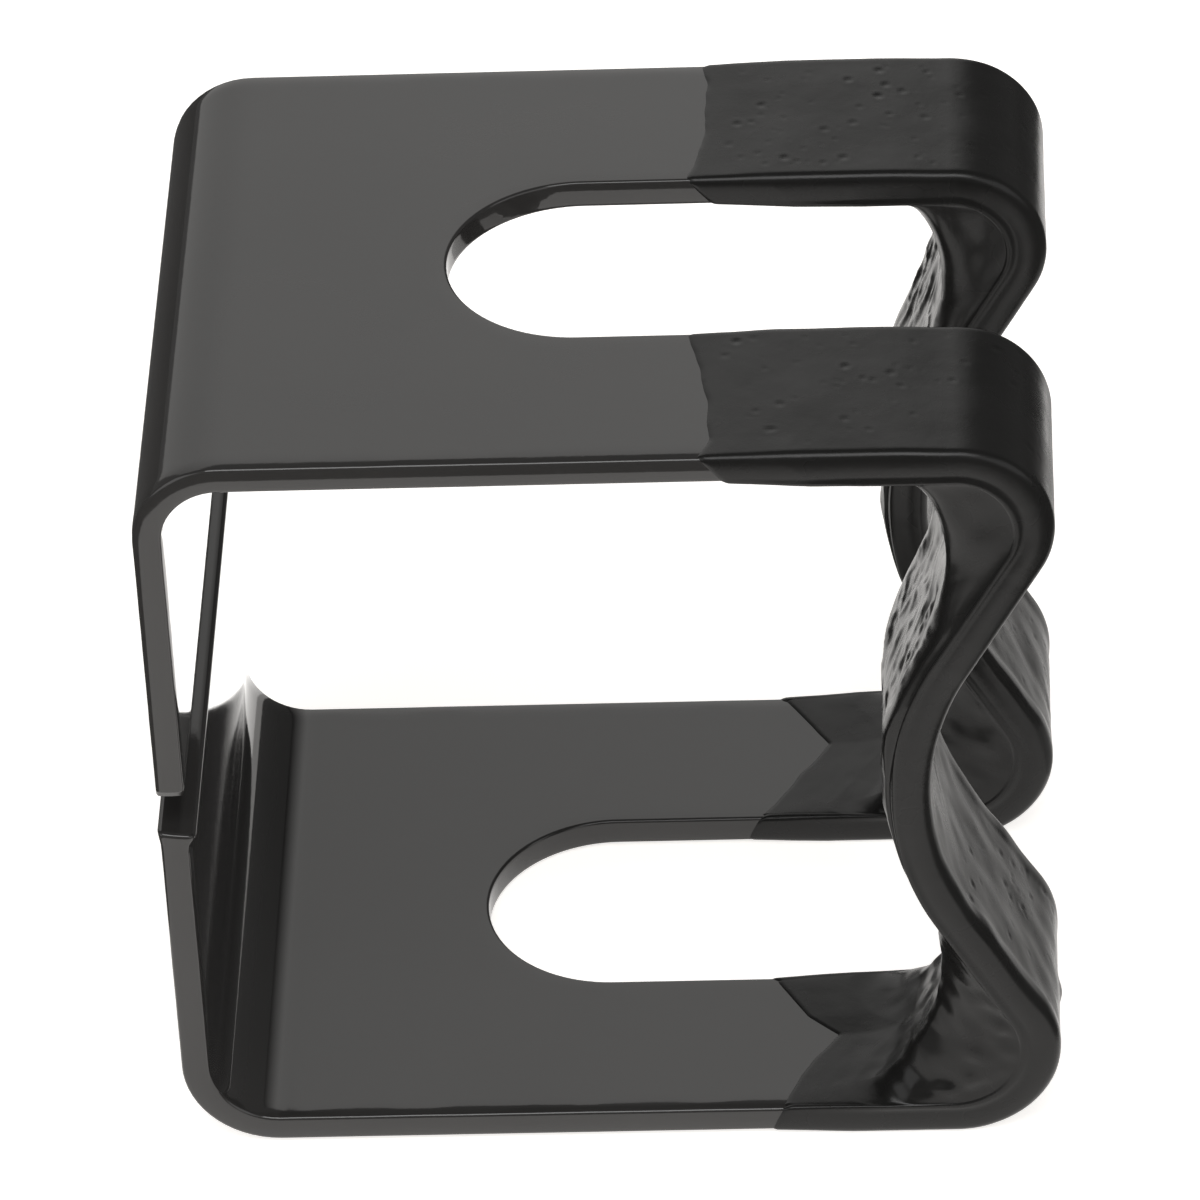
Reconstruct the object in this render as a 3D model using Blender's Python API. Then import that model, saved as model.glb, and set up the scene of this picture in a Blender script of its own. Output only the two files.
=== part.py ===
"""Formed strap clip: one bent steel strap with two fingers, each in a dipped vinyl coat.

Frame: +X towards the fingers, +Y to the rear, +Z up. The origin is the centre of the
bounding box's bottom. Lengths are in metres.

The real strap is one springy piece. It is built here as an upper and a lower half, which
meet inside the vinyl at the fingers' waist, on the axis about which the clip flexes.
"""

import math

import bmesh
import bpy
from mathutils import Matrix, Vector

MM = 0.001

# Steel strap.
STRAP_WIDTH = 70.0 * MM
STRAP_THICKNESS = 3.1 * MM
PLATE_SPAN = 87.44 * MM          # top face of the top plate to bottom face of the bottom plate
BACK_FACE_X = -46.05 * MM        # outer face of the two back legs
LOWER_LEG_END_Z = 42.35 * MM
BACK_GAP = 4.5 * MM              # between the sheared ends of the two legs
SLOT_WIDTH = 27.3 * MM
SLOT_END_X = -15.3 * MM          # closed ends of the slot, in both plates

# The fingers lean in from both plates to a waist at half height.
ARM_LEAN = math.radians(30.0)
UPPER_CORNER_X = 49.9 * MM       # where the middle lines of the plate and the arm would meet
LOWER_CORNER_X = 50.3 * MM
WAIST_RADIUS = 33.0 * MM         # of the middle line
WAIST_CUT = 0.4 * MM             # room between the halves, so that they can turn

# Inside radii of the four sharp bends.
TOP_BACK_BEND = 6.0 * MM
TOP_FINGER_BEND = 6.45 * MM
BOTTOM_FINGER_BEND = 7.45 * MM
BOTTOM_BACK_BEND = 6.9 * MM
BEND_STEP = math.radians(10.0)
WAIST_STEP = math.radians(5.0)

# Vinyl coat: from the strap's face to the coat's outer face, and to its inner face.
COAT = 0.45 * MM
COAT_CLEARANCE = 0.15 * MM
COAT_STATION_SPACING = 4.0 * MM

# Dip lines, where the vinyl ends on the plates: x at a finger's edges, and how much further
# from the back the line is at the finger's middle.
TOP_DIP_X = 9.8 * MM
TOP_DIP_DENT = 1.3 * MM
BOTTOM_DIP_X = 15.6 * MM
BOTTOM_DIP_DENT = 7.0 * MM
DENT_FADE = 12.0 * MM

# Vinyl pooled in the acute inside corners: x and z of the pool's free surface, in millimetres,
# from the plate to the waist.
UPPER_POOL = [(27.0, 84.34), (30.8, 83.9), (33.5, 80.8), (34.7, 76.0), (34.7, 71.0), (33.5, 65.0),
              (31.6, 58.5)]
LOWER_POOL = [(25.5, 4.0), (28.3, 5.4), (31.2, 9.6), (33.6, 14.4), (34.5, 19.6), (33.9, 24.4), (32.3, 29.0)]
POOL_STEPS = 4                   # pieces of curve between two of those points

HALF_WIDTH = STRAP_WIDTH / 2
HALF_SLOT = SLOT_WIDTH / 2
HALF_THICKNESS = STRAP_THICKNESS / 2
SLOT_CENTRE_X = SLOT_END_X + HALF_SLOT
SLOT_END_SEGMENTS = 24
CUTTER_REACH = 70.0 * MM
CUTTER_MARGIN = 10.0 * MM

# The coat under the bottom plate touches z = 0, so the bare strap starts a coat higher.
LEG_X = BACK_FACE_X + HALF_THICKNESS
BOTTOM_Z = COAT + HALF_THICKNESS
TOP_Z = COAT + PLATE_SPAN - HALF_THICKNESS
UPPER_LEG_END_Z = LOWER_LEG_END_Z + BACK_GAP

PAINT_COLOUR = (0.035, 0.034, 0.033)
PAINT_ROUGHNESS = 0.3
VINYL_COLOUR = (0.03, 0.029, 0.028)
VINYL_ROUGHNESS = 0.6


def clear_scene():
    for item in list(bpy.data.objects):
        bpy.data.objects.remove(item, do_unlink=True)


def make_material(name, colour, roughness):
    material = bpy.data.materials.new(name)
    material.use_nodes = True
    shader = material.node_tree.nodes["Principled BSDF"]
    shader.inputs["Base Color"].default_value = (*colour, 1.0)
    shader.inputs["Roughness"].default_value = roughness
    shader.inputs["Metallic"].default_value = 0.0
    return material


def left_of(heading):
    return Vector((-heading.y, heading.x))


def waist_corner():
    """Where the middle lines of the two arms of a finger would meet, as (x, z)."""
    offset = (LOWER_CORNER_X - UPPER_CORNER_X) / math.tan(ARM_LEAN)
    z = (TOP_Z + BOTTOM_Z + offset) / 2
    return Vector((UPPER_CORNER_X - (TOP_Z - z) * math.tan(ARM_LEAN), z))


def waist_point():
    """The middle line's point nearest to the legs. The flex axis runs through it along Y."""
    reach = WAIST_RADIUS * (1 / math.cos(ARM_LEAN) - 1)
    return waist_corner() + Vector((reach, 0.0))


def rounded_corner(before, corner, after, radius, step):
    """Stations (point, heading) along the arc that rounds a corner of the middle line."""
    come = (corner - before).normalized()
    leave = (after - corner).normalized()
    turn = math.atan2(come.x * leave.y - come.y * leave.x, come.dot(leave))
    start = corner - come * radius * math.tan(abs(turn) / 2)
    to_centre = left_of(come) * math.copysign(radius, turn)
    pieces = round(abs(turn) / step)
    stations = []
    for index in range(pieces + 1):
        rotation = Matrix.Rotation(turn * index / pieces, 2)
        stations.append((start + to_centre - rotation @ to_centre, rotation @ come))
    return stations


def sharp_bend(before, corner, after, inside_radius):
    return rounded_corner(before, corner, after, inside_radius + HALF_THICKNESS, BEND_STEP)


def middle_lines():
    """Stations of the upper half, from its leg to the waist, and of the lower, from the waist."""
    upper_end = Vector((LEG_X, UPPER_LEG_END_Z))
    top_back = Vector((LEG_X, TOP_Z))
    top_finger = Vector((UPPER_CORNER_X, TOP_Z))
    waist = waist_corner()
    bottom_finger = Vector((LOWER_CORNER_X, BOTTOM_Z))
    bottom_back = Vector((LEG_X, BOTTOM_Z))
    lower_end = Vector((LEG_X, LOWER_LEG_END_Z))
    up = Vector((0.0, 1.0))

    bow = rounded_corner(top_finger, waist, bottom_finger, WAIST_RADIUS, WAIST_STEP)
    middle = len(bow) // 2
    half_cut = up * WAIST_CUT / 2
    upper = [(upper_end, up)]
    upper += sharp_bend(upper_end, top_back, top_finger, TOP_BACK_BEND)
    upper += sharp_bend(top_back, top_finger, waist, TOP_FINGER_BEND)
    upper += bow[:middle]
    upper.append((waist_point() + half_cut, -up))
    lower = [(waist_point() - half_cut, -up)]
    lower += bow[middle + 1:]
    lower += sharp_bend(waist, bottom_finger, bottom_back, BOTTOM_FINGER_BEND)
    lower += sharp_bend(bottom_finger, bottom_back, lower_end, BOTTOM_BACK_BEND)
    lower.append((lower_end, up))
    return upper, lower


def bridge(faces, first, second, size):
    """Add the quads between two rings of vertices that start at the given indices."""
    for index in range(size):
        after = (index + 1) % size
        faces.append([first + index, first + after, second + after, second + index])


def make_object(name, vertices, faces, origin):
    """Make an object from world-space vertices, with its faces out and its own origin."""
    mesh = bpy.data.meshes.new(name)
    mesh.from_pydata([vertex - origin for vertex in vertices], [], faces)
    shape = bmesh.new()
    shape.from_mesh(mesh)
    bmesh.ops.recalc_face_normals(shape, faces=shape.faces)
    shape.to_mesh(mesh)
    shape.free()
    mesh.shade_smooth()
    mesh.set_sharp_from_angle(angle=math.radians(30.0))
    item = bpy.data.objects.new(name, mesh)
    item.location = origin
    bpy.context.collection.objects.link(item)
    return item


def in_space(point, y):
    return Vector((point.x, y, point.y))


def make_slot_cutter():
    """A tall prism with one round end, which parts the two fingers."""
    outline = []
    for index in range(SLOT_END_SEGMENTS + 1):
        angle = math.pi / 2 + math.pi * index / SLOT_END_SEGMENTS
        outline.append((SLOT_CENTRE_X + HALF_SLOT * math.cos(angle), HALF_SLOT * math.sin(angle)))
    outline += [(CUTTER_REACH, -HALF_SLOT), (CUTTER_REACH, HALF_SLOT)]
    size = len(outline)
    vertices = []
    for z in (-CUTTER_MARGIN, PLATE_SPAN + CUTTER_MARGIN):
        vertices += [Vector((x, y, z)) for x, y in outline]
    faces = [list(range(size)), list(range(size, 2 * size))]
    bridge(faces, 0, size, size)
    cutter = make_object("slot_cutter", vertices, faces, Vector((0.0, 0.0, 0.0)))
    cutter.hide_render = True
    cutter.display_type = "WIRE"
    return cutter


def make_strap_half(name, stations, cutter, material, origin):
    """Sweep the strap's rectangular section along the stations, then cut the slot."""
    vertices = []
    faces = []
    for point, heading in stations:
        side = left_of(heading) * HALF_THICKNESS
        vertices += [in_space(point + side, -HALF_WIDTH), in_space(point + side, HALF_WIDTH)]
        vertices += [in_space(point - side, HALF_WIDTH), in_space(point - side, -HALF_WIDTH)]
    last = len(vertices) - 4
    for first in range(0, last, 4):
        bridge(faces, first, first + 4, 4)
    faces.append([0, 1, 2, 3])
    faces.append([last, last + 1, last + 2, last + 3])
    half = make_object(name, vertices, faces, origin)
    half.data.materials.append(material)
    cut = half.modifiers.new("slot", "BOOLEAN")
    cut.object = cutter
    cut.solver = "EXACT"
    return half


def finger_stations(half_line, dip_x, plate_z):
    """A finger's stations from its dip line to the waist, spaced closely enough for the coat.

    Every heading points away from the plate, whichever way the half's line was walked.
    """
    kept = [(point, heading) for point, heading in half_line if point.x > dip_x]
    if abs(kept[0][0].y - plate_z) > STRAP_THICKNESS:
        kept = [(point, -heading) for point, heading in reversed(kept)]
    line = [(Vector((dip_x, plate_z)), kept[0][1])]
    for point, heading in kept:
        start = line[-1][0]
        pieces = max(1, round((point - start).length / COAT_STATION_SPACING))
        for index in range(1, pieces):
            line.append((start.lerp(point, index / pieces), heading))
        line.append((point, heading))
    return line


def smooth_through(points, pieces):
    """A Catmull-Rom curve through the points."""
    padded = [points[0] * 2 - points[1]] + points + [points[-1] * 2 - points[-2]]
    curve = []
    for index in range(1, len(points)):
        p0, p1, p2, p3 = padded[index - 1:index + 3]
        for piece in range(pieces):
            t = piece / pieces
            bend = (p2 - p0) * t + (p0 * 2 - p1 * 5 + p2 * 4 - p3) * t ** 2
            curve.append(p1 + (bend + (p1 * 3 - p0 - p2 * 3 + p3) * t ** 3) / 2)
    return curve + [points[-1]]


def resample(curve, count):
    """Points at equal distances along a chain of points."""
    reach = [0.0]
    for before, after in zip(curve, curve[1:]):
        reach.append(reach[-1] + (after - before).length)
    spaced = []
    segment = 0
    for index in range(count):
        goal = reach[-1] * index / (count - 1)
        while segment < len(curve) - 2 and reach[segment + 1] < goal:
            segment += 1
        share = (goal - reach[segment]) / (reach[segment + 1] - reach[segment])
        spaced.append(curve[segment].lerp(curve[segment + 1], share))
    return spaced


def inner_surface(line, outer_side, pool):
    """The coat's surface towards the inside of the clip, with the pooled corner."""
    pool_points = [Vector(point) * MM for point in pool]
    follow = [point - left_of(heading) * outer_side * (HALF_THICKNESS + COAT) for point, heading in line]
    pool_end = pool_points[-1]
    arm = [point for point in follow if abs(point.y - waist_point().y) < abs(pool_end.y - waist_point().y)]
    arm = [point for point in arm if abs(point.y - pool_end.y) > COAT]
    return resample([follow[0]] + smooth_through(pool_points + arm[:1], POOL_STEPS) + arm[1:], len(line))


def make_coat_half(name, line, outer_side, sides, dent, pool, material, origin):
    """Sweep a closed ring round one finger: the coat outside, and room for the steel inside.

    The ring has a point in the middle of each broad face, which dents the dip line.
    """
    inner_line = inner_surface(line, outer_side, pool)
    outer_rings = []
    room_rings = []
    for (point, heading), inner in zip(line, inner_line):
        side = left_of(heading) * outer_side
        fade = max(0.0, 1 - (point - line[0][0]).length / DENT_FADE)
        shift = Vector((dent * fade, 0.0))
        outer = point + side * (HALF_THICKNESS + COAT)
        room = side * (HALF_THICKNESS + COAT_CLEARANCE)
        outer_rings.append(ring(outer, inner, shift, sides, COAT))
        room_rings.append(ring(point + room, point - room, shift, sides, COAT_CLEARANCE))
    size = len(outer_rings[0])
    vertices = [vertex for one in outer_rings + room_rings for vertex in one]
    last = size * (len(line) - 1)
    room_start = last + size
    faces = []
    for first in range(0, last, size):
        bridge(faces, first, first + size, size)
        bridge(faces, room_start + first, room_start + first + size, size)
    bridge(faces, 0, room_start, size)
    bridge(faces, last, room_start + last, size)
    coat = make_object(name, vertices, faces, origin)
    coat.data.materials.append(material)
    return coat


def ring(outer, inner, shift, sides, proud):
    """The six points of a section, with its sides a little proud of the finger's edges."""
    front = sides[0] - proud
    rear = sides[1] + proud
    middle = (front + rear) / 2
    points = [in_space(outer, front), in_space(outer + shift, middle), in_space(outer, rear)]
    return points + [in_space(inner, rear), in_space(inner + shift, middle), in_space(inner, front)]


def main():
    clear_scene()
    paint = make_material("black_paint", PAINT_COLOUR, PAINT_ROUGHNESS)
    vinyl = make_material("black_vinyl", VINYL_COLOUR, VINYL_ROUGHNESS)
    flex_axis = in_space(waist_point(), 0.0)
    upper_line, lower_line = middle_lines()
    cutter = make_slot_cutter()
    make_strap_half("strap_upper", upper_line, cutter, paint, flex_axis)
    make_strap_half("strap_lower", lower_line, cutter, paint, Vector((0.0, 0.0, 0.0)))

    upper_finger = finger_stations(upper_line, TOP_DIP_X, TOP_Z)
    lower_finger = finger_stations(lower_line, BOTTOM_DIP_X, BOTTOM_Z)
    fingers = {"front": (-HALF_WIDTH, -HALF_SLOT), "rear": (HALF_SLOT, HALF_WIDTH)}
    for place, sides in fingers.items():
        upper_name = place + "_vinyl_upper"
        lower_name = place + "_vinyl_lower"
        make_coat_half(upper_name, upper_finger, 1, sides, TOP_DIP_DENT, UPPER_POOL, vinyl, flex_axis)
        make_coat_half(lower_name, lower_finger, -1, sides, BOTTOM_DIP_DENT, LOWER_POOL, vinyl,
                       Vector((0.0, 0.0, 0.0)))


main()
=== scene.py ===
"""Looks of the formed strap clip: a glossy painted strap with two fingers dipped in vinyl."""

import math
import random

import bmesh
import bpy
import numpy as np
from mathutils import Matrix, Vector, noise


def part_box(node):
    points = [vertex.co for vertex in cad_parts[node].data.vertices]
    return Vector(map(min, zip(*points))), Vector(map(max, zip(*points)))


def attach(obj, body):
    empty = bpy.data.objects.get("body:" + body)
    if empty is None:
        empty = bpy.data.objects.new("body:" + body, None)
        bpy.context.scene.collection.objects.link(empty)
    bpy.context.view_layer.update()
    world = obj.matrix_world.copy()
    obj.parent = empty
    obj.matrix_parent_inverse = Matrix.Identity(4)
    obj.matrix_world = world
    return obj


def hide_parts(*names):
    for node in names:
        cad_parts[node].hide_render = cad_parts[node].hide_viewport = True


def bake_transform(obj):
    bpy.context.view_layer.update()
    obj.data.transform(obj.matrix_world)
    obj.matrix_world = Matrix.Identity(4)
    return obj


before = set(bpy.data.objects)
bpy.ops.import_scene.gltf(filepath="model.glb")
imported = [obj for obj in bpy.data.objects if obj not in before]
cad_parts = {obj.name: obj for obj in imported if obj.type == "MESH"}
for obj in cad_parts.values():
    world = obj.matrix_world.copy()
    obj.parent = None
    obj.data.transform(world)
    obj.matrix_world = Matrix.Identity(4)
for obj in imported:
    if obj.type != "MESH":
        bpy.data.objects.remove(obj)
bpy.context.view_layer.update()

MM = 0.001

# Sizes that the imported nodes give.
strap_low = [min(pair) for pair in zip(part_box("strap_lower")[0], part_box("strap_upper")[0])]
strap_high = [max(pair) for pair in zip(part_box("strap_lower")[1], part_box("strap_upper")[1])]
HALF_WIDTH = strap_high[1]
BACK_FACE_X = strap_low[0]
BOTTOM_FACE_Z = strap_low[2]
TOP_FACE_Z = strap_high[2]
MIDDLE_Z = (TOP_FACE_Z + BOTTOM_FACE_Z) / 2

# The strap's own sizes.
LOWER_LEG_END_Z = 42.35 * MM
BACK_GAP = 4.5 * MM
THICKNESS = 3.1 * MM
HALF_THICKNESS = THICKNESS / 2
SLOT_WIDTH = 27.3 * MM
HALF_SLOT = SLOT_WIDTH / 2
SLOT_END_X = -15.3 * MM
ARM_LEAN = math.radians(30.0)
UPPER_CORNER_X = 49.9 * MM
LOWER_CORNER_X = 50.3 * MM
WAIST_RADIUS = 33.0 * MM
WAIST_CUT = 0.4 * MM
TOP_BACK_BEND = 6.0 * MM
TOP_FINGER_BEND = 6.45 * MM
BOTTOM_FINGER_BEND = 7.45 * MM
BOTTOM_BACK_BEND = 6.9 * MM
ARRIS = 0.25 * MM                # small radius along every cut edge
ROLL_WIDTH = 1.9 * MM            # each face falls away gently over this width before the arris
ROLL_DROP = 0.15 * MM
ROLL_WANDER = 0.5                # how much that width varies along the edge
SLOT_ROLL = 0.25                 # share of that drop at the slot's edge
ROLL_LOOPS = [0.35 * MM, 0.25 * MM, 0.3 * MM, 0.4 * MM, 0.5 * MM, 0.7 * MM]
SLOT_NOSE_STEPS = 48
STRIP = 0.9 * MM                 # length of the strips that a flat half is cut into before it is bent
FIRST_STRIP = 0.6 * MM           # the first and last cuts stay this far from its ends
LAST_STRIP = 0.5 * MM
EDGE_CUTS = (-1.0 * MM, -0.6 * MM, -0.2 * MM, 0.2 * MM, 0.6 * MM, 1.0 * MM)
EDGE_CROWN = 0.14 * MM           # how far the cut edges bulge at their middle
SHEAR_LEAN = math.tan(math.radians(8.0))      # the lower leg's cut end leans towards the inside
SHEAR_REACH = 3.0 * MM

# The bead of paint round the lower leg's cut end.
BEAD_INNER = 0.8 * MM            # its height on the inner face
BEAD_OUTER = 0.2 * MM
BEAD_FLAT = 0.4 * MM             # how far from the end it starts to thin out
BEAD_REACH = 1.1 * MM
BEAD_WAVE = 0.35                 # how much its height varies along the end

# The vinyl coat.
COAT = 0.42 * MM
COAT_UNDER = 0.25 * MM           # how far the coat's hidden end dives below the paint
COAT_LIP = 1.0 * MM
COAT_THIN = 0.1 * MM
COAT_THICKEN = 9.0 * MM
COAT_ROUND = 0.5 * MM
INNER_ROUND = 0.35 * MM
COAT_CROWN = 0.26 * MM           # how far the coated edges bulge on the arms
CROWN_ZONE = (4 * MM, 80 * MM, 8 * MM)        # every zone is its lowest z, highest z and softness
BEND_EASE = 0.2 * MM             # softens where the top plate turns into the bend
TOP_DIP_DIVE = 2.6 * MM          # how far the dip line moves along, from the outer to the inner face
BOTTOM_DIP_DIVE = 1.5 * MM
DIP_WANDER = 0.3 * MM            # how ragged the dip lines are
RING_SPACING = 0.28 * MM

# The vinyl pooled in the inside corners, which makes a web between the edge bead and a free surface.
WEB_FOOT = 0.035                 # share of the pool's depth at which a web's face leaves the edge bead
WEB_STEP = 0.45 * MM             # how far that face lies behind the bead
WEB_ARRIS = 0.8 * MM             # how far it rounds off towards the free surface
WEB_DEEP = 3 * MM                # a pool deeper than this has its full push, pull and dimples
WEB_PUSH = 0.85 * MM             # how far the pooled vinyl brings that face forward again
WEB_PULL = 2.2 * MM              # how far a lower web's arris draws in from the finger's edge
WEB_FOOT_ZONE = (-5 * MM, 26 * MM, 6 * MM)
WAIST_LIP = 0.9 * MM             # how far the pooled vinyl's front arris stands out above the waist
WAIST_LIP_ZONE = (50 * MM, 64 * MM, 9 * MM)
WAIST_LIP_SHARE = 0.16           # share of the finger's width that the lip takes up
POOL_EASE = 1.3 * MM             # a pool's surface is smoothed along the finger over about this length
POOL_SAG = 0.12                  # how much shallower the pools are at the middle of a finger

# Where each pool starts on its plate, and its free surface, (x, z) in millimetres, plate to waist.
UPPER_POOL_START_X = 9.8 * MM
LOWER_POOL_START_X = 15.6 * MM
UPPER_POOL = np.array([
    (27.0, 84.3), (30.8, 83.9), (33.5, 80.8), (34.7, 76.0), (34.7, 71.0), (33.5, 65.0),
    (31.3, 58.5), (29.1, 52.5), (28.35, 48.0), (28.25, 46.0), (28.25, 44.5)]) * MM
LOWER_POOL = np.array([
    (25.5, 4.0), (28.3, 5.4), (31.2, 9.6), (33.6, 14.4), (34.5, 19.6), (33.9, 24.4),
    (32.3, 29.0), (30.0, 35.0), (28.65, 40.2), (28.27, 43.0), (28.25, 44.5)]) * MM

# Where each coat ends: shares of the way across its finger, from the front, and x in millimetres.
FRONT_TOP_DIP = ((0.0, 0.15, 0.5, 0.9, 1.0), (10.4, 11.4, 11.0, 9.6, 9.2))
FRONT_BOTTOM_DIP = ((0.0, 0.35, 0.55, 0.7, 1.0), (16.4, 20.4, 23.4, 19.4, 15.0))
REAR_TOP_DIP = ((0.0, 0.3, 0.7, 1.0), (8.6, 10.1, 10.4, 10.3))
REAR_BOTTOM_DIP = ((0.0, 0.3, 0.6, 1.0), (13.4, 17.8, 22.0, 15.6))

# Height of each kind of relief in the vinyl's skin, in millimetres.
SWELL, RIPPLE = 0.05, 0.012
RIDGES, CREASES = 0.28, 0.11     # wrinkles of the inner faces
RUNS, BLOTCHES = 0.17, 0.07      # outer faces of the lower arms
LUMPS = 0.32                     # free surface of the lower pools
FAT_EDGE = 0.13                  # bead along the edges of the outer faces
WEB_DIMPLES, WEB_LUMPS = 0.34, 0.36
LOW_ZONE = (-1 * MM, 42 * MM, 8 * MM)
ARM_ZONE = (10 * MM, 76 * MM, 12 * MM)

# Burst bubbles in the skin.
PIT_RADII = (0.2, 0.24, 0.28, 0.34, 0.44)     # in millimetres
PIT_DEPTHS = (0.12, 0.22)        # least and most, as shares of the radius
TOP_PITS_X = 13 * MM             # where they start on the top plate

# The studio. Its cards lie just above the floor, and only reflections see them: they are painted reflections,
# darker or brighter than the floor.
LIGHT_DISTANCE = 2.0             # metres from the clip to the softboxes and the backdrop
WARM_WHITE = (1.0, 0.98, 0.955, 1.0)
SOFT_WHITE = (1.0, 0.99, 0.97, 1.0)
WORLD_GLOW = 0.16
FLOOR_REACH = 3.0
FLOOR_COLOUR = (0.85, 0.83, 0.81, 1.0)
FLOOR_GLOW = 0.78
# Base colour of every painted reflection; how much each one glows sets how dark or bright it looks.
PAINTED_REFLECTION_COLOUR = (0.03, 0.03, 0.03, 1.0)
# Painted dark reflections: how much they glow, and how high they lie.
PAINTED_DARK_REFLECTION_GLOW = 0.07
PAINTED_DARK_REFLECTION_Z = 1 * MM
# Height of the painted bright and dim reflections.
PAINTED_WALL_AND_SIDE_REFLECTION_Z = 0.8 * MM
LIT_FLOOR = (-80 * MM, 132 * MM, -160 * MM, 175 * MM)      # left, right, front, back of the floor that reflections see at its own glow; painted dark reflections cover the rest
PAINTED_SIDE_REFLECTION = (52 * MM, 132 * MM, -20 * MM, 110 * MM)        # the part of it that the outer faces see, dimmed: a painted dim reflection
PAINTED_SIDE_REFLECTION_GLOW = 0.72
PAINTED_WALL_REFLECTION = (-46 * MM, -24 * MM, 36 * MM, 165 * MM)        # the part that the back wall sees, brightened: a painted bright reflection
PAINTED_WALL_REFLECTION_GLOW = 2.2
PAINTED_DARK_REFLECTION_NEAR = (62 * MM, -22 * MM)                            # left and back edge of the near right card, a painted dark reflection
BACKDROP = (-42, 19, 4, 42)                                # left, right, low, high, in degrees
BACKDROP_GLOW = (0.62, 1.24)                               # at the left edge, straight behind
BACKDROP_FADE = 0.68                                       # width of its soft right edge, in metres

LEG_X = BACK_FACE_X + HALF_THICKNESS
TOP_Z = TOP_FACE_Z - HALF_THICKNESS
BOTTOM_Z = BOTTOM_FACE_Z + HALF_THICKNESS


# ---------------------------------------------------------------- middle line

# The bends in the order in which the middle line meets them, apart from the last, at the bottom back.
TOP_BACK, TOP_FINGER, WAIST, BOTTOM_FINGER = range(4)


def waist_corner():
    offset = (LOWER_CORNER_X - UPPER_CORNER_X) / math.tan(ARM_LEAN)
    z = (TOP_Z + BOTTOM_Z + offset) / 2
    return np.array((UPPER_CORNER_X - (TOP_Z - z) * math.tan(ARM_LEAN), z))


class MiddleLine:
    """The strap's middle line in the XZ plane, walked from the upper leg's end to the lower's."""

    def __init__(self):
        corners = [
            (np.array((LEG_X, TOP_Z)), TOP_BACK_BEND + HALF_THICKNESS),
            (np.array((UPPER_CORNER_X, TOP_Z)), TOP_FINGER_BEND + HALF_THICKNESS),
            (waist_corner(), WAIST_RADIUS),
            (np.array((LOWER_CORNER_X, BOTTOM_Z)), BOTTOM_FINGER_BEND + HALF_THICKNESS),
            (np.array((LEG_X, BOTTOM_Z)), BOTTOM_BACK_BEND + HALF_THICKNESS),
        ]
        start = np.array((LEG_X, LOWER_LEG_END_Z + BACK_GAP))
        end = np.array((LEG_X, LOWER_LEG_END_Z))
        points = [start] + [corner for corner, _ in corners] + [end]
        self.pieces = []         # (length so far, length, start point, heading angle, turn)
        self.length = 0.0
        self.bends = []          # (start, end) of each, as distances along the line
        here = start
        for index, (corner, radius) in enumerate(corners):
            come = self.angle(points[index], corner)
            leave = self.angle(corner, points[index + 2])
            turn = (leave - come + math.pi) % (2 * math.pi) - math.pi
            tangent = radius * math.tan(abs(turn) / 2)
            run = math.dist(here, corner) - tangent
            here = self.add(here, run, come, 0.0)
            self.bends.append((self.length, self.length + radius * abs(turn)))
            here = self.add(here, radius * abs(turn), come, turn)
        self.add(here, math.dist(here, end), math.pi / 2, 0.0)

    @staticmethod
    def angle(a, b):
        return math.atan2(b[1] - a[1], b[0] - a[0])

    def add(self, start, length, heading, turn):
        """Add a straight or a bend, and give the point where it ends."""
        self.pieces.append((self.length, length, start, heading, turn))
        self.length += length
        return self.at(np.array([self.length]))[0][0]

    def at(self, s):
        """Points and outward normals (x, z) at distances s along the line."""
        s = np.asarray(s, float)
        points = np.zeros(s.shape + (2,))
        angles = np.zeros(s.shape)
        for so_far, length, start, heading, turn in self.pieces:
            inside = s >= so_far - 1e-12
            run = s[inside] - so_far
            if turn:
                radius = length / turn
                angle = heading + run / radius
                points[inside, 0] = start[0] + radius * (np.sin(angle) - math.sin(heading))
                points[inside, 1] = start[1] - radius * (np.cos(angle) - math.cos(heading))
                angles[inside] = angle
            else:
                points[inside, 0] = start[0] + run * math.cos(heading)
                points[inside, 1] = start[1] + run * math.sin(heading)
                angles[inside] = heading
        normals = np.stack([-np.sin(angles), np.cos(angles)], -1)
        return points, normals

    def top_at(self, x):
        """Distance along the line to where the top plate is at x."""
        plate_s = self.bends[TOP_BACK][1]
        return plate_s + x - self.at(np.array([plate_s]))[0][0][0]

    def bottom_at(self, x):
        """Distance along the line to where the bottom plate is at x."""
        plate_s = self.bends[BOTTOM_FINGER][1]
        return plate_s + self.at(np.array([plate_s]))[0][0][0] - x


line = MiddleLine()
waist_s = sum(line.bends[WAIST]) / 2
waist_x, waist_z = line.at(np.array([waist_s]))[0][0]


# ---------------------------------------------------------------- node helpers

def new_material(name):
    material = bpy.data.materials.new(name)
    material.use_nodes = True
    return material, material.node_tree.nodes, material.node_tree.links


def add_noise(nodes, links, coordinate, scale, detail):
    texture = nodes.new("ShaderNodeTexNoise")
    texture.inputs["Scale"].default_value = scale
    texture.inputs["Detail"].default_value = detail
    texture.inputs["Roughness"].default_value = 0.5
    links.new(coordinate, texture.inputs["Vector"])
    return texture.outputs["Fac"]


def add_range(nodes, links, value, from_min, from_max, to_min, to_max):
    mapping = nodes.new("ShaderNodeMapRange")
    for socket, number in zip(("From Min", "From Max", "To Min", "To Max"),
                              (from_min, from_max, to_min, to_max)):
        mapping.inputs[socket].default_value = number
    links.new(value, mapping.inputs["Value"])
    return mapping.outputs["Result"]


def add_colour_mix(nodes, links, factor, dark, light):
    mix = nodes.new("ShaderNodeMix")
    mix.data_type = "RGBA"
    mix.inputs["A"].default_value = (*dark, 1.0)
    mix.inputs["B"].default_value = (*light, 1.0)
    links.new(factor, mix.inputs["Factor"])
    return mix.outputs["Result"]


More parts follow.
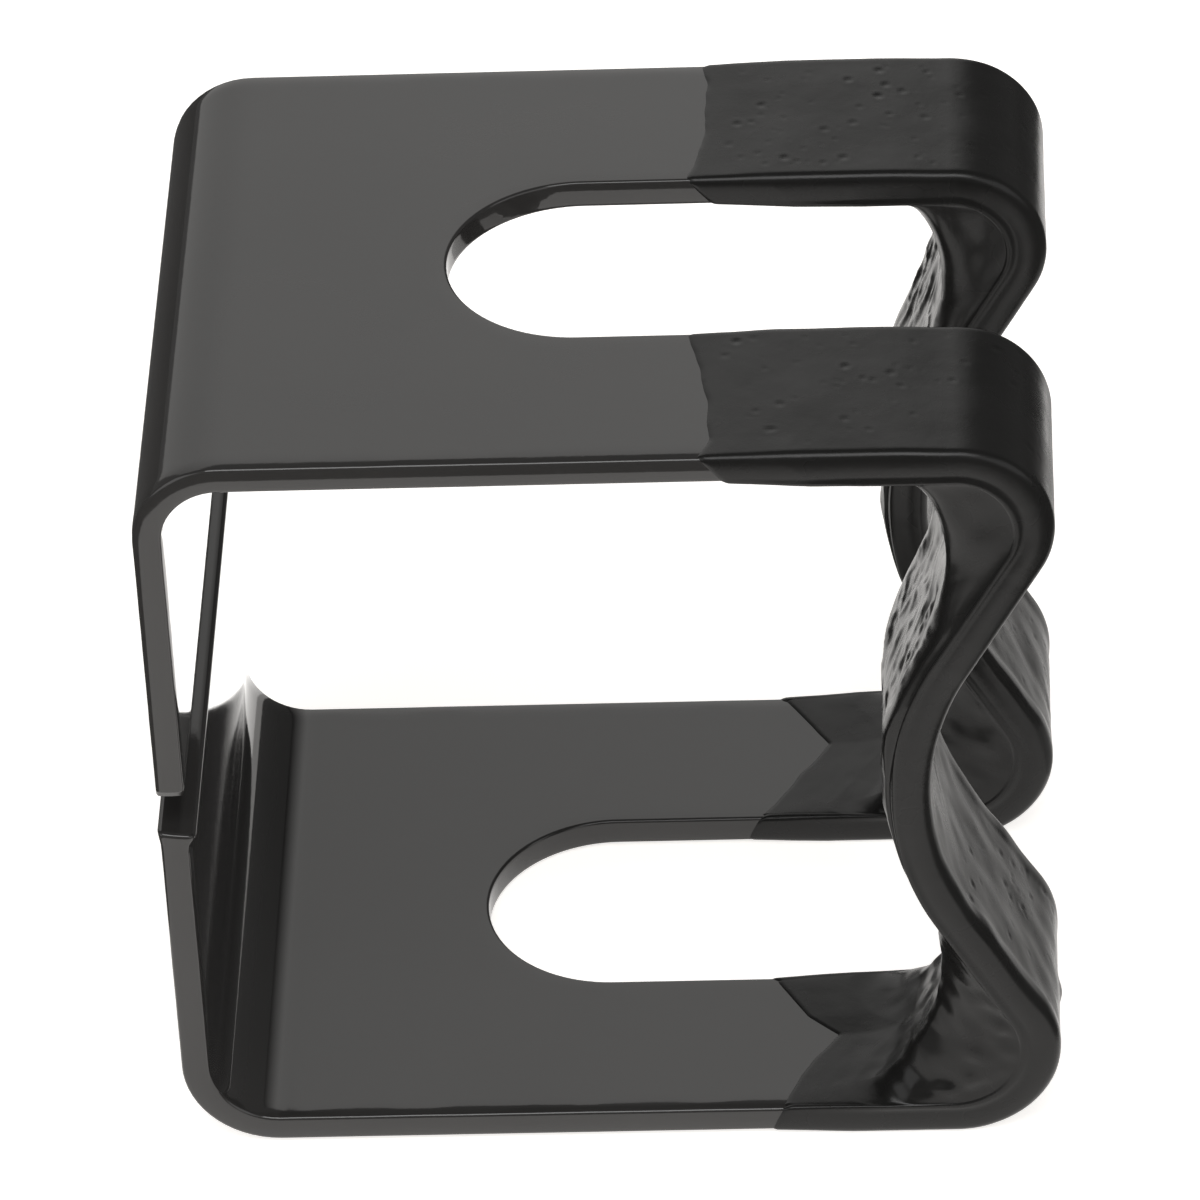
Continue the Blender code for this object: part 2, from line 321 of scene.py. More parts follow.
def add_bump(nodes, links, height, strength, distance, below=None):
    bump = nodes.new("ShaderNodeBump")
    bump.inputs["Strength"].default_value = strength
    bump.inputs["Distance"].default_value = distance
    links.new(height, bump.inputs["Height"])
    if below is not None:
        links.new(below, bump.inputs["Normal"])
    return bump.outputs["Normal"]


def paint_material():
    """Black gloss paint over steel: orange peel, faint cloudiness in the gloss."""
    material, nodes, links = new_material("black_gloss_paint")
    shader = nodes["Principled BSDF"]
    where = nodes.new("ShaderNodeTexCoord").outputs["Object"]
    cloud = add_noise(nodes, links, where, scale=60.0, detail=3.0)
    peel = add_noise(nodes, links, where, scale=700.0, detail=2.0)
    speck = add_noise(nodes, links, where, scale=3500.0, detail=2.0)
    colour = add_colour_mix(nodes, links, cloud, dark=(0.022, 0.021, 0.0205), light=(0.03, 0.029, 0.028))
    links.new(colour, shader.inputs["Base Color"])
    gloss = add_range(nodes, links, cloud, from_min=0.3, from_max=0.7, to_min=0.05, to_max=0.09)
    links.new(gloss, shader.inputs["Roughness"])
    fine = add_bump(nodes, links, speck, strength=0.05, distance=0.02 * MM)
    bump = add_bump(nodes, links, peel, strength=0.08, distance=0.06 * MM, below=fine)
    links.new(bump, shader.inputs["Normal"])
    shader.inputs["IOR"].default_value = 1.5
    return material


def vinyl_material():
    """Matt black plastisol: soft sheen that varies, with a fine skin texture."""
    material, nodes, links = new_material("black_dipped_vinyl")
    shader = nodes["Principled BSDF"]
    where = nodes.new("ShaderNodeTexCoord").outputs["Object"]
    cloud = add_noise(nodes, links, where, scale=110.0, detail=4.0)
    skin = add_noise(nodes, links, where, scale=1500.0, detail=3.0)
    grain = add_noise(nodes, links, where, scale=6000.0, detail=2.0)
    colour = add_colour_mix(nodes, links, cloud, dark=(0.0075, 0.0073, 0.007), light=(0.0115, 0.0112, 0.0108))
    links.new(colour, shader.inputs["Base Color"])
    gloss = add_range(nodes, links, cloud, from_min=0.3, from_max=0.7, to_min=0.22, to_max=0.32)
    links.new(gloss, shader.inputs["Roughness"])
    fine = add_bump(nodes, links, grain, strength=0.15, distance=0.02 * MM)
    bump = add_bump(nodes, links, skin, strength=0.2, distance=0.05 * MM, below=fine)
    links.new(bump, shader.inputs["Normal"])
    shader.inputs["IOR"].default_value = 1.34
    return material


# ---------------------------------------------------------------- painted strap

def slot_outline(nose_s, open_s):
    """Points (s, y) of the slot's edge, from one side of its open end round the nose to the other."""
    side = 1.0 if open_s > nose_s else -1.0
    centre = nose_s + side * HALF_SLOT
    points = [(open_s, -HALF_SLOT)]
    for index in range(SLOT_NOSE_STEPS + 1):
        angle = -math.pi / 2 - math.pi * index / SLOT_NOSE_STEPS
        points.append((centre + side * HALF_SLOT * math.cos(angle), HALF_SLOT * math.sin(angle)))
    points.append((open_s, HALF_SLOT))
    return points


def inward(s, y, leg_s, centre_s, side):
    """Distance in from the half's outline at flat positions (s, y), and whether the slot is nearest."""
    past_centre = (s - centre_s) * side > 0
    slot = np.where(past_centre, np.abs(y), np.hypot(s - centre_s, y)) - HALF_SLOT
    outside = np.minimum(HALF_WIDTH - np.abs(y), np.abs(s - leg_s))
    return np.minimum(outside, slot), slot < outside


def rolled_edge(distance, s):
    """How far the paint drops towards the edge, with a width that wanders along it."""
    wander = np.array([noise.noise(Vector((value / (6 * MM), 3.0, 0.0)))
                       + 0.5 * noise.noise(Vector((value / (2 * MM), 9.0, 0.0))) for value in s])
    width = ROLL_WIDTH * (1 + ROLL_WANDER * wander)
    return ROLL_DROP * np.clip(1 - distance / width, 0, 1) ** 2


def make_strap_half(name, leg_s, waist_end_s, nose_s):
    """Lay the half out flat, round its edges, cut it into short strips and bend it to shape."""
    outline = slot_outline(nose_s, waist_end_s)
    outline += [(waist_end_s, HALF_WIDTH), (leg_s, HALF_WIDTH),
                (leg_s, -HALF_WIDTH), (waist_end_s, -HALF_WIDTH)]
    shape = bmesh.new()
    face = shape.faces.new([shape.verts.new((s, y, -HALF_THICKNESS)) for s, y in outline])
    lifted = bmesh.ops.extrude_face_region(shape, geom=[face])
    for vertex in lifted["geom"]:
        if isinstance(vertex, bmesh.types.BMVert):
            vertex.co.z = HALF_THICKNESS
    bmesh.ops.recalc_face_normals(shape, faces=shape.faces)
    rims = [edge for edge in shape.edges
            if abs(edge.verts[0].co.z - edge.verts[1].co.z) < HALF_THICKNESS]
    for step in ROLL_LOOPS:
        flats = [side_face for side_face in shape.faces
                 if abs(side_face.normal.z) > 0.9 and len(side_face.verts) > 4]
        for flat_face in flats:
            bmesh.ops.inset_region(shape, faces=[flat_face], thickness=step, use_even_offset=True)
    bmesh.ops.bevel(shape, geom=rims, offset=ARRIS, segments=3, profile=0.5, affect="EDGES")
    first, last = sorted((leg_s, waist_end_s))
    strips = np.arange(first + FIRST_STRIP, last - LAST_STRIP, STRIP)
    cuts = [((cut_s, 0, 0), (1, 0, 0)) for cut_s in strips]
    cuts += [((0, 0, level), (0, 0, 1)) for level in EDGE_CUTS]
    for place, direction in cuts:
        geometry = shape.verts[:] + shape.edges[:] + shape.faces[:]
        bmesh.ops.bisect_plane(shape, geom=geometry, plane_co=place, plane_no=direction)
    mesh = bpy.data.meshes.new(name)
    shape.to_mesh(mesh)
    shape.free()

    flat = np.empty(len(mesh.vertices) * 3)
    mesh.vertices.foreach_get("co", flat)
    s, y, t = flat.reshape(-1, 3).T
    side = 1.0 if waist_end_s > nose_s else -1.0
    distance, by_slot = inward(s, y, leg_s, nose_s + side * HALF_SLOT, side)
    drop = rolled_edge(distance, s) * np.where(by_slot, SLOT_ROLL, 1.0)
    out_of_metal = np.sign(np.abs(y) - HALF_SLOT * 1.2)      # into the slot, or out at the sides
    crown = EDGE_CROWN * (1 - (t / HALF_THICKNESS) ** 2) * (distance < ARRIS) * out_of_metal
    y = y + np.sign(y) * crown
    t = t - np.sign(t) * drop * np.minimum(np.abs(t) / HALF_THICKNESS, 1)
    if side < 0:
        from_end = line.length - s
        t = t + end_bead(from_end, y, t)
        s = s - SHEAR_LEAN * (HALF_THICKNESS - t) * np.exp(-(from_end / SHEAR_REACH) ** 2)
    points, normals = line.at(s)
    bent = np.stack([points[:, 0] + normals[:, 0] * t, y, points[:, 1] + normals[:, 1] * t], -1)
    mesh.vertices.foreach_set("co", bent.ravel())
    mesh.update()
    mesh.shade_smooth()
    half = bpy.data.objects.new(name, mesh)
    bpy.context.collection.objects.link(half)
    smooth = half.modifiers.new("flat faces", "WEIGHTED_NORMAL")
    smooth.weight = 100
    mesh.materials.append(paint)
    return half


def end_bead(from_end, y, t):
    """The fat bead of paint round the lower leg's cut end, mostly on its inner face."""
    wave = np.array([noise.noise(Vector((0.0, value / (4 * MM), 5.0))) for value in y])
    bead = np.exp(-(np.maximum(from_end - BEAD_FLAT, 0) / BEAD_REACH) ** 2) * (1 + BEAD_WAVE * wave)
    return np.where(t < 0, -BEAD_INNER, BEAD_OUTER) * bead * np.abs(t) / HALF_THICKNESS


# ---------------------------------------------------------------- vinyl coats

def catmull_rom(points, pieces):
    """A smooth curve through the points, with that many pieces between each two."""
    padded = np.vstack([2 * points[0] - points[1], points, 2 * points[-1] - points[-2]])
    curve = []
    for index in range(1, len(points)):
        p0, p1, p2, p3 = padded[index - 1:index + 3]
        for t in np.arange(pieces) / pieces:
            curve.append(p1 + ((p2 - p0) * t + (2 * p0 - 5 * p1 + 4 * p2 - p3) * t ** 2
                               + (3 * p1 - p0 - 3 * p2 + p3) * t ** 3) / 2)
    return np.vstack(curve + [points[-1]])


class Pool:
    """Carries a station of the inner face to the pooled vinyl's free surface."""

    def __init__(self, curve, plate_s):
        steps = np.linspace(0.0, 1.0, 400)
        points, normals = line.at(plate_s + (waist_s - plate_s) * steps)
        face = points - normals * (HALF_THICKNESS + COAT)
        free = np.vstack([face[:1], catmull_rom(curve, 12)])
        reach = np.concatenate([[0.0], np.cumsum(np.hypot(*np.diff(free, axis=0).T))])
        goals = reach[-1] * steps
        target = np.stack([np.interp(goals, reach, free[:, axis]) for axis in (0, 1)], -1)
        shift = target - face
        spread = POOL_EASE / (abs(waist_s - plate_s) * steps[1])
        taps = math.ceil(3 * spread)
        weights = np.exp(-(np.arange(-taps, taps + 1) / spread) ** 2 / 2)
        weights = weights / weights.sum()
        plate = np.zeros((2 * taps, 2))
        mirrored = 2 * shift[-1] - shift[-2:-taps - 2:-1]      # keeps the waist's shift, where pools meet
        padded = np.vstack([plate, shift, mirrored])
        self.shift = np.stack([np.convolve(column, weights, "valid") for column in padded.T], -1)
        self.stations = plate_s + (waist_s - plate_s) * steps[1] * np.arange(-taps, len(steps))
        if plate_s > waist_s:
            self.stations = self.stations[::-1]
            self.shift = self.shift[::-1]

    def at(self, s):
        """The whole shift as (x, z) at distances s along the middle line, 0 outside the pool."""
        inside = (s >= self.stations[0]) & (s < self.stations[-1])
        moved = np.stack([np.interp(s, self.stations, self.shift[:, axis]) for axis in (0, 1)], -1)
        return moved * inside[..., None]


def section(front, rear):
    """One finger's section, in rows of y, t, normal y, normal t, pool share and wall side.

    It starts at the front of the outer face and runs round by the rear edge and the inner face. The
    wall rows are carried out by the pooled vinyl to make a web's front and rear faces.
    """
    face_rows, corner_rows, edge_rows, wall_rows = 64, 5, 7, 20
    half = HALF_THICKNESS
    rows = [(y, half, 0.0, 1.0, 0.0, 0.0)
            for y in np.linspace(front + COAT_ROUND, rear - COAT_ROUND, face_rows)]

    def corner(y, t, r, start, walls=(0.0, 0.0)):
        for index in range(1, corner_rows):
            angle = start - math.pi / 2 * index / corner_rows
            across, proud = math.cos(angle), math.sin(angle)
            side = walls[0] + (walls[1] - walls[0]) * index / corner_rows
            rows.append((y + r * across, t + r * proud, across, proud, WEB_FOOT * abs(side), side))

    def edge(y, sign, t_from, t_to):
        for t in np.linspace(t_from, t_to, edge_rows):
            rows.append((y, t, sign, 0.0, 0.0, 0.0))

    def wall(y, sign):
        shares = WEB_FOOT + (1 - WEB_FOOT) * (np.arange(wall_rows + 1) / wall_rows) ** 1.6
        recess = INNER_ROUND + WEB_STEP * (1 - np.exp(-shares / 0.3)) + WEB_ARRIS * shares ** 8
        return [(y - sign * deep, -half, 0.0, -1.0, share, sign * (share < 1))
                for share, deep in zip(shares, recess)]

    corner(rear - COAT_ROUND, half - COAT_ROUND, COAT_ROUND, math.pi / 2)
    edge(rear, 1.0, half - COAT_ROUND, INNER_ROUND - half)
    corner(rear - INNER_ROUND, INNER_ROUND - half, INNER_ROUND, 0.0, (0.0, 1.0))
    rear_wall, front_wall = wall(rear, 1.0), wall(front, -1.0)
    rows += rear_wall
    for y in np.linspace(rear_wall[-1][0], front_wall[-1][0], face_rows - 8)[1:-1]:
        rows.append((y, -half, 0.0, -1.0, 1.0, 0.0))
    rows += front_wall[::-1]
    corner(front + INNER_ROUND, INNER_ROUND - half, INNER_ROUND, -math.pi / 2, (-1.0, 0.0))
    edge(front, -1.0, INNER_ROUND - half, half - COAT_ROUND)
    corner(front + COAT_ROUND, half - COAT_ROUND, COAT_ROUND, math.pi)
    return np.array(rows)


def field(*columns):
    """Smooth noise between about -1 and 1 at points given by three broadcast columns."""
    columns = np.broadcast_arrays(*columns)
    rows = np.stack([column.ravel() for column in columns], -1)
    return np.array([noise.noise(Vector(row)) for row in rows.tolist()]).reshape(columns[0].shape)


def window(value, low, high, soft):
    """1 between low and high, easing to 0 over soft on either side."""
    rise = np.clip((value - low) / soft + 0.5, 0, 1)
    fall = np.clip((high - value) / soft + 0.5, 0, 1)
    return rise * rise * (3 - 2 * rise) * fall * fall * (3 - 2 * fall)


def skin_noise(s, y, along, across, seed):
    """Noise on the skin, with lumps about that many millimetres long along and across the finger."""
    return field(s / (along * MM), y / (across * MM), seed)


def scatter_pits(rng, count, s_range, from_y, to_y, crowd):
    """Burst bubbles as (s, y, radius, depth), clear of the edges, thicker towards from_y as crowd grows."""
    pits = []
    for _ in range(count):
        s = rng.uniform(*s_range)
        y = from_y + (to_y - from_y) * (0.06 + 0.86 * rng.random() ** crowd)
        radius = rng.choice(PIT_RADII) * MM
        pits.append((s, y, radius, rng.uniform(*PIT_DEPTHS) * radius))
    return pits


def pit_depth(s, y, pits):
    """Each pit is a dimple with a low raised rim."""
    depth = np.zeros(s.shape)
    for pit_s, pit_y, radius, deep in pits:
        near = (np.abs(s - pit_s) < 3 * radius) & (np.abs(y - pit_y) < 3 * radius)
        away = np.hypot(s[near] - pit_s, y[near] - pit_y) / radius
        depth[near] += deep * (0.3 * np.exp(-((away - 1.5) / 0.5) ** 2) - np.exp(-away ** 2))
    return depth


def coat_relief(s, y, z, edge_distance, depth, normal_t, seed, lumpy, pits, nibs):
    """Bubbles, runs and wrinkles of the dipped skin, as height along its normal."""
    outer = np.clip(normal_t, 0, 1)
    inner = np.clip(-normal_t, 0, 1)
    low = window(z, *LOW_ZONE)
    arm = window(z, *ARM_ZONE)
    pooled = lumpy * np.clip(depth / (4 * MM) - 0.4, 0, 1)
    relief = SWELL * skin_noise(s, y, 6, 5, seed)
    relief += RIPPLE * skin_noise(s, y, 1.6, 1.6, seed + 7)
    patch = 0.6 + 0.6 * skin_noise(s, y, 9, 5, seed + 11)
    ridges = 1 - 2 * np.abs(skin_noise(s, y, 5.5, 2.3, seed + 13))
    creases = 1 - 2 * np.abs(skin_noise(s, y, 2.2, 1.0, seed + 19))
    clear_of_edge = window(edge_distance, 1.4 * MM, 1.0, 1.8 * MM)
    relief += inner * arm * clear_of_edge * (RIDGES * ridges + CREASES * patch * creases)
    runs = skin_noise(s - 0.8 * y, y + 0.6 * s, 8, 2.8, seed + 29)      # they slant across the arm
    blotches = skin_noise(s, y, 3.2, 2.6, seed + 33)
    relief += outer * low * arm * (RUNS * runs + BLOTCHES * blotches)
    relief += inner * pooled * low * LUMPS * skin_noise(s, y, 2.6, 2.4, seed + 37)
    relief += outer * arm * (FAT_EDGE * (1 - window(edge_distance, 1.7 * MM, 1.0, 1.2 * MM)))
    relief = relief * MM + outer * pit_depth(s, y, pits)
    relief -= outer * BEND_EASE * np.exp(-((s - line.bends[TOP_FINGER][0]) / (4 * MM)) ** 2)
    for nib_s, nib_y, radius, height in nibs:
        relief += height * np.exp(-((s - nib_s) ** 2 + (y - nib_y) ** 2) / radius ** 2) * (outer > 0.3)
    return relief


def make_coat(name, front, rear, top_dip, bottom_dip, seed, lumpy, pits, nibs):
    """A finger's whole coat, from the dip line on the top plate to the one on the bottom plate."""
    y, t, normal_y, normal_t, share, wall_side = section(front, rear).T
    across = (y - front) / (rear - front)
    ragged = DIP_WANDER * field(y / (2.2 * MM), seed, 0.0)
    under = 0.5 - t / THICKNESS
    start = line.top_at(np.interp(across, *top_dip) * MM) + ragged + TOP_DIP_DIVE * under
    end = line.bottom_at(np.interp(across, *bottom_dip) * MM) + ragged[::-1]
    end += BOTTOM_DIP_DIVE * (1 - under)
    rings = round((end.mean() - start.mean()) / RING_SPACING)
    u = np.linspace(0.0, 1.0, rings + 1)[:, None]
    s = start + (end - start) * u

    from_end = np.minimum(s - start, end - s)
    lip = np.sin(np.minimum(from_end / COAT_LIP, 1.0) * math.pi / 2)
    thick = COAT_THIN + (COAT - COAT_THIN) * np.clip(from_end / COAT_THICKEN, 0.0, 1.0)
    points, normals = line.at(s)
    wide = np.broadcast_to(y, s.shape)
    shift = pool_shift(s, across, share)
    lip_height = WAIST_LIP * window(points[..., 1], *WAIST_LIP_ZONE)
    shift -= normals * (lip_height * share * np.exp(-(across / WAIST_LIP_SHARE) ** 2))[..., None]
    depth = np.hypot(shift[..., 0], shift[..., 1])
    edge_distance = np.minimum(y - front, rear - y)
    relief = coat_relief(s, wide, points[..., 1], edge_distance, depth, normal_t,
                         seed, lumpy, pits, nibs)
    calm = np.clip(from_end / (4 * MM) - 0.1, 0, 1)
    coat = -COAT_UNDER + (thick + COAT_UNDER) * lip + relief * calm
    on_arm = window(points[..., 1], *CROWN_ZONE)
    crown = (EDGE_CROWN + (COAT_CROWN - EDGE_CROWN) * on_arm) * (1 - (t / HALF_THICKNESS) ** 2)

    offset = t + normal_t * coat
    flat = points + normals * offset[..., None] + shift
    dimples = skin_noise(flat[..., 0], flat[..., 1], 3.5, 4.5, seed + 43)
    lumps = skin_noise(flat[..., 0], flat[..., 1], 2.0, 1.8, seed + 47)
    low = lumpy * window(points[..., 1], *WEB_FOOT_ZONE)
    bumps = WEB_DIMPLES * dimples + WEB_LUMPS * low * lumps
    web = wall_side * (np.minimum(depth / WEB_DEEP, 1) * bumps * MM)
    full = pool_shift(s, across, 1.0)
    pooled = np.clip(np.hypot(full[..., 0], full[..., 1]) / WEB_DEEP, 0, 1)
    web += wall_side * WEB_PUSH * pooled * (1 - share ** 6)
    web -= WEB_PULL * low * pooled * share ** 3 * (2 * across - 1)
    place = np.stack([flat[..., 0], y + normal_y * (coat + crown) + web, flat[..., 1]], -1)

    ring_size = len(y)
    index = np.arange((rings + 1) * ring_size).reshape(rings + 1, ring_size)
    after = np.roll(index, -1, axis=1)
    quads = np.stack([index[:-1], after[:-1], after[1:], index[1:]], -1).reshape(-1, 4)
    vertices = np.vstack([place.reshape(-1, 3), place[0].mean(axis=0), place[-1].mean(axis=0)])
    faces = quads[:, ::-1].tolist()
    for ring, centre, flip in ((index[0], len(vertices) - 2, 1), (index[-1], len(vertices) - 1, -1)):
        for a, b in zip(ring, np.roll(ring, -1)):
            faces.append([int(a), int(b), centre][::flip])
    mesh = bpy.data.meshes.new(name)
    mesh.from_pydata(vertices.tolist(), [], faces)
    shape = bmesh.new()
    shape.from_mesh(mesh)
    bmesh.ops.recalc_face_normals(shape, faces=shape.faces)
    shape.to_mesh(mesh)
    shape.free()
    mesh.shade_smooth()
    coat_object = bpy.data.objects.new(name, mesh)
    bpy.context.collection.objects.link(coat_object)
    mesh.materials.append(vinyl)
    return coat_object


def pool_shift(s, across, share):
    """How far the pooled vinyl carries the inner face, as (x, z)."""
    sag = 1.0 - POOL_SAG * (1.0 - (2 * across - 1) ** 2)
    # The lower pool is 18% deeper at a finger's front and 24% shallower at its rear.
    taper = 1.0 + (0.18 - 0.42 * across) * np.clip((s - waist_s) / (14 * MM), 0, 1)
    upper = upper_pool.at(s) * (share * sag)[..., None]
    lower = lower_pool.at(s) * (share * sag * taper)[..., None]
    return upper + lower


# ---------------------------------------------------------------- stage, light, camera

def add_plane(name, outline, height, material):
    mesh = bpy.data.meshes.new(name)
    mesh.from_pydata([(x, y, height) for x, y in outline], [], [tuple(range(len(outline)))])
    plane = bpy.data.objects.new(name, mesh)
    bpy.context.collection.objects.link(plane)
    mesh.materials.append(material)
    return plane


def glowing_material(name, colour, glow):
    """Matt and a little bright by itself, so that it looks even whatever light falls on it."""
    material, nodes, _ = new_material(name)
    shader = nodes["Principled BSDF"]
    shader.inputs["Base Color"].default_value = colour
    shader.inputs["Roughness"].default_value = 0.9
    shader.inputs["Specular IOR Level"].default_value = 0.0
    shader.inputs["Emission Color"].default_value = WARM_WHITE
    shader.inputs["Emission Strength"].default_value = glow
    return material


def rectangle(left, right, front, back):
    return [(left, front), (right, front), (right, back), (left, back)]


def make_stage():
    """A white floor, and cards round it that only reflections see: painted reflections, darker or brighter
    than the floor.
    """
    reach = FLOOR_REACH
    floor = glowing_material("pale_floor", FLOOR_COLOUR, FLOOR_GLOW)
    add_plane("studio_floor", rectangle(-reach, reach, -reach, reach), 0.0, floor)

    # Painted dark reflection: the floor looks dark wherever reflections meet these sheets.
    dark = glowing_material("painted_dark_reflection_material", PAINTED_REFLECTION_COLOUR, PAINTED_DARK_REFLECTION_GLOW)
    # Painted bright reflection: a near-black sheet glowing well above the floor.
    white = glowing_material("painted_bright_reflection_material", PAINTED_REFLECTION_COLOUR, PAINTED_WALL_REFLECTION_GLOW)
    # Painted dim reflection: a near-black sheet glowing a little below the floor.
    grey = glowing_material("painted_dim_reflection_material", PAINTED_REFLECTION_COLOUR, PAINTED_SIDE_REFLECTION_GLOW)
    left, right, front, back = LIT_FLOOR
    near_left, near_back = PAINTED_DARK_REFLECTION_NEAR
    cards = [
        # Painted bright reflection where the back wall sees the floor.
        ("painted_bright_reflection_wall", PAINTED_WALL_REFLECTION, PAINTED_WALL_AND_SIDE_REFLECTION_Z, white),
        # Painted dim reflection where the outer faces see the floor.
        ("painted_dim_reflection_side", PAINTED_SIDE_REFLECTION, PAINTED_WALL_AND_SIDE_REFLECTION_Z, grey),
        # Painted dark reflections all round the lit floor, and a near one on the right.
        ("painted_dark_reflection_left", (-reach, left, -reach, reach), PAINTED_DARK_REFLECTION_Z, dark),
        ("painted_dark_reflection_right", (right, reach, -reach, reach), PAINTED_DARK_REFLECTION_Z, dark),
        ("painted_dark_reflection_front", (left, right, -reach, front), PAINTED_DARK_REFLECTION_Z, dark),
        ("painted_dark_reflection_back", (left, right, back, reach), PAINTED_DARK_REFLECTION_Z, dark),
        ("painted_dark_reflection_near_right", (near_left, right, front, near_back), PAINTED_DARK_REFLECTION_Z, dark),
    ]
    # Every card is a painted reflection: the camera, diffuse light and shadows never see it.
    for name, sides, height, material in cards:
        reflections_only(add_plane(name, rectangle(*sides), height, material))


def reflections_only(thing):
    thing.visible_camera = False
    thing.visible_diffuse = False
    thing.visible_shadow = False
    thing.visible_transmission = False


def add_softbox(name, azimuth, elevation, width, height, radiance):
    """A panel seen from the clip at that azimuth (0 behind it, + to the right), sized in degrees."""
    azimuth, elevation = math.radians(azimuth), math.radians(elevation)
    away = Vector((math.sin(azimuth) * math.cos(elevation), math.cos(azimuth) * math.cos(elevation),
                   math.sin(elevation)))
    data = bpy.data.lights.new(name, "AREA")
    data.shape = "RECTANGLE"
    data.size = 2 * LIGHT_DISTANCE * math.tan(math.radians(width) / 2)
    data.size_y = 2 * LIGHT_DISTANCE * math.tan(math.radians(height) / 2)
    data.energy = radiance * math.pi * data.size * data.size_y
    light = bpy.data.objects.new(name, data)
    light.location = away * LIGHT_DISTANCE + Vector((0, 0, MIDDLE_Z))
    light.rotation_mode = "QUATERNION"
    light.rotation_quaternion = away.to_track_quat("Z", "Y")
    light.visible_camera = False
    bpy.context.collection.objects.link(light)


def add_backdrop():
    """A bright panel behind the clip, dimmer to the left, that fades out at its right edge."""
    distance = LIGHT_DISTANCE
    left, right, low, high = (math.radians(angle) for angle in BACKDROP)
    mesh = bpy.data.meshes.new("backdrop_panel")
    mesh.from_pydata([(distance * math.tan(azimuth), distance,
                       MIDDLE_Z + distance * math.tan(elevation) / math.cos(azimuth))
                      for azimuth, elevation in rectangle(left, right, low, high)], [], [(0, 1, 2, 3)])
    panel = bpy.data.objects.new("backdrop_panel", mesh)
    bpy.context.collection.objects.link(panel)
    material, nodes, links = new_material("backdrop_light")
    nodes.remove(nodes["Principled BSDF"])
    glow = nodes.new("ShaderNodeEmission")
    glow.inputs["Color"].default_value = SOFT_WHITE
    split = nodes.new("ShaderNodeSeparateXYZ")
    links.new(nodes.new("ShaderNodeTexCoord").outputs["Object"], split.inputs["Vector"])
    left_x, right_x = distance * math.tan(left), distance * math.tan(right)
    dimming = add_range(nodes, links, split.outputs["X"], left_x, 0.0, *BACKDROP_GLOW)
    fade = add_range(nodes, links, split.outputs["X"], right_x - BACKDROP_FADE, right_x, 1.0, 0.0)
    product = nodes.new("ShaderNodeMath")
    product.operation = "MULTIPLY"
    links.new(dimming, product.inputs[0])
    links.new(fade, product.inputs[1])
    links.new(product.outputs["Value"], glow.inputs["Strength"])
    links.new(glow.outputs["Emission"], nodes["Material Output"].inputs["Surface"])
    mesh.materials.append(material)
    panel.visible_camera = False


def make_light():
    world = bpy.data.worlds.new("studio")
    bpy.context.scene.world = world
    world.use_nodes = True
    background = world.node_tree.nodes["Background"]
    background.inputs["Color"].default_value = SOFT_WHITE
    background.inputs["Strength"].default_value = WORLD_GLOW
    add_backdrop()
    add_softbox("front_softbox", azimuth=178, elevation=62, width=34, height=26, radiance=4.6)
    add_softbox("right_softbox", azimuth=128, elevation=30, width=50, height=38, radiance=1.0)
    add_softbox("left_softbox", azimuth=-122, elevation=30, width=50, height=38, radiance=1.2)
    bpy.context.scene.view_settings.view_transform = "Standard"


def make_camera():
    """The photo's viewing angle: a long lens, 37 degrees up, a little to the right and rolled."""
    azimuth, elevation, roll = math.radians(3.2), math.radians(37.08), math.radians(-3.18)
    distance = 933.7 * MM
    target = Vector((-1.53 * MM, 0.0, 44.13 * MM))
    out = Vector((math.sin(azimuth) * math.cos(elevation), -math.cos(azimuth) * math.cos(elevation),
                  math.sin(elevation)))
    level = Vector((math.cos(azimuth), math.sin(azimuth), 0.0))
    up = out.cross(level)
    right = level * math.cos(roll) + up * math.sin(roll)
    top = up * math.cos(roll) - level * math.sin(roll)
    data = bpy.data.cameras.new("camera")
    data.sensor_width = 36.0
    data.lens = 266.8
    data.clip_start = 0.05
    data.clip_end = 20.0
    camera = bpy.data.objects.new("camera", data)
    rotation = Matrix((right, top, out)).transposed().to_4x4()
    camera.matrix_world = Matrix.Translation(target + out * distance) @ rotation
    bpy.context.collection.objects.link(camera)
    bpy.context.scene.camera = camera


# ---------------------------------------------------------------- build

make_camera()
make_stage()
make_light()
paint = paint_material()
vinyl = vinyl_material()

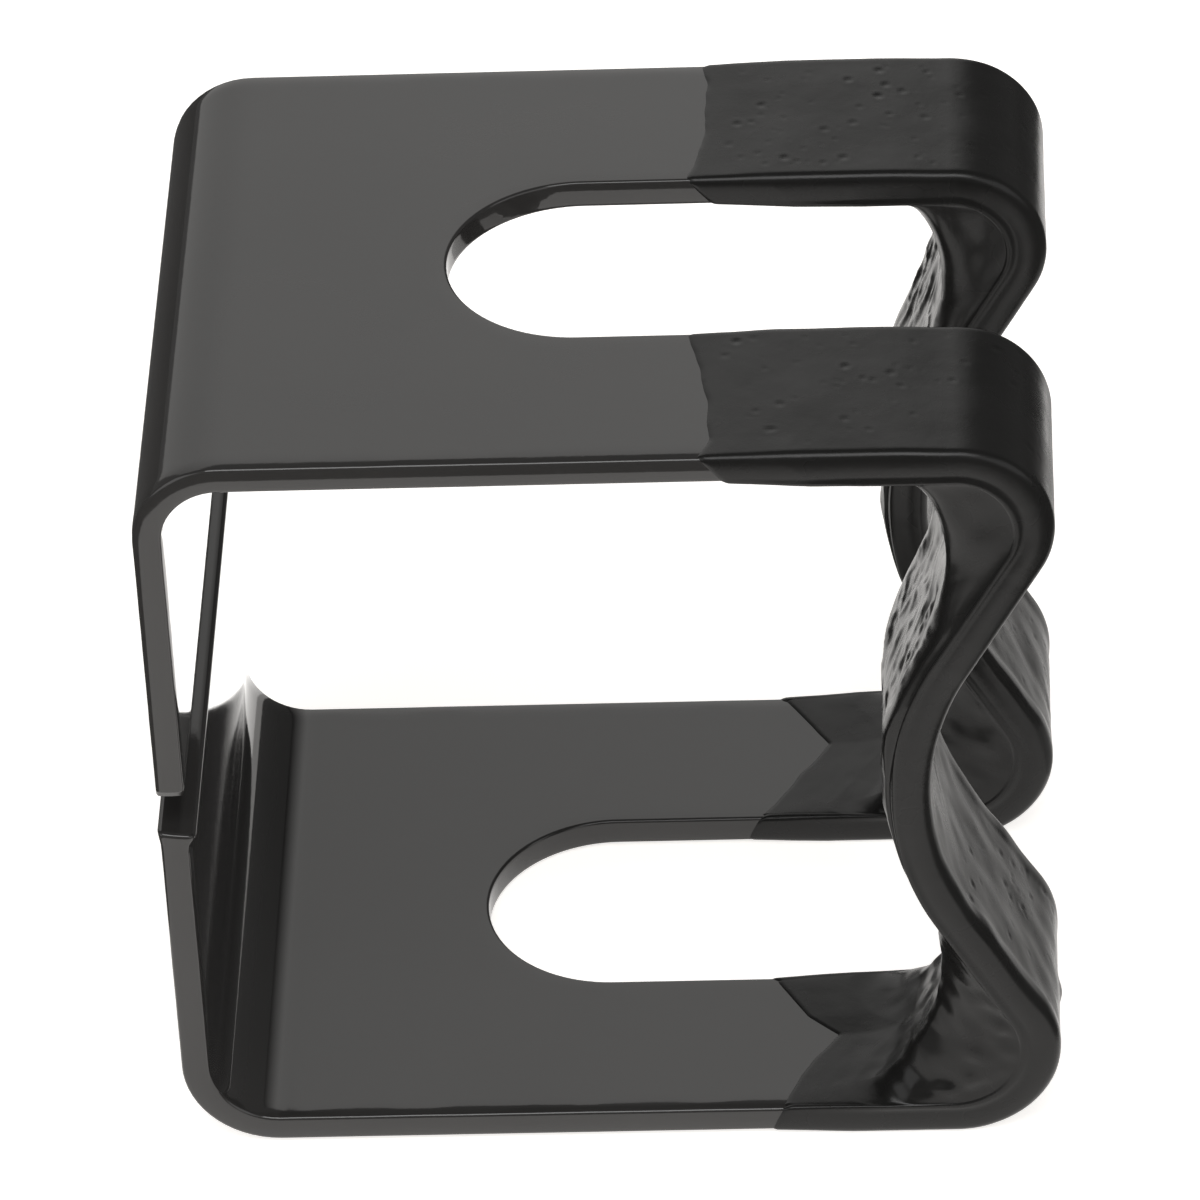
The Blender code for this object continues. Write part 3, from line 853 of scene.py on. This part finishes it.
upper_strap = make_strap_half("painted_strap_upper", 0.0, waist_s - WAIST_CUT / 2, line.top_at(SLOT_END_X))
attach(upper_strap, "upper_half")
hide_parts("strap_upper")

lower_strap = make_strap_half("painted_strap_lower", line.length, waist_s + WAIST_CUT / 2,
                              line.bottom_at(SLOT_END_X))
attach(lower_strap, "lower_half")
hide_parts("strap_lower")

upper_pool = Pool(UPPER_POOL, line.top_at(UPPER_POOL_START_X))
lower_pool = Pool(LOWER_POOL, line.bottom_at(LOWER_POOL_START_X))

rng = random.Random(11)
bend_start, bend_end = line.bends[BOTTOM_FINGER]
top = (line.top_at(TOP_PITS_X), sum(line.bends[TOP_FINGER]) / 2)
arm = (line.bends[WAIST][1] - 2 * MM, bend_start + 3 * MM)
front_pits = scatter_pits(rng, count=62, s_range=top, from_y=-HALF_SLOT, to_y=-HALF_WIDTH, crowd=1.5)
front_pits += scatter_pits(rng, count=42, s_range=arm, from_y=-HALF_WIDTH, to_y=-HALF_SLOT, crowd=0.9)
rear_pits = scatter_pits(rng, count=84, s_range=top, from_y=HALF_SLOT, to_y=HALF_WIDTH, crowd=1.3)
rear_pits += scatter_pits(rng, count=42, s_range=arm, from_y=HALF_SLOT, to_y=HALF_WIDTH, crowd=1.0)

# Small drops that stand out of the front coat's lower bend, as (s, y, radius, height).
front_nibs = [(bend_start + 0.27 * (bend_end - bend_start), -25.5 * MM, 1.2 * MM, 0.38 * MM),
              (bend_end - 2 * MM, -33 * MM, 0.9 * MM, 0.3 * MM)]

front_coat = make_coat("front_vinyl_coat", -HALF_WIDTH, -HALF_SLOT, FRONT_TOP_DIP, FRONT_BOTTOM_DIP,
                       seed=1.5, lumpy=1.0, pits=front_pits, nibs=front_nibs)
rear_coat = make_coat("rear_vinyl_coat", HALF_SLOT, HALF_WIDTH, REAR_TOP_DIP, REAR_BOTTOM_DIP,
                      seed=52.5, lumpy=0.35, pits=rear_pits, nibs=[])
for coat, nodes in ((front_coat, ("front_vinyl_lower", "front_vinyl_upper")),
                    (rear_coat, ("rear_vinyl_lower", "rear_vinyl_upper"))):
    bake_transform(coat)
    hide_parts(*nodes)
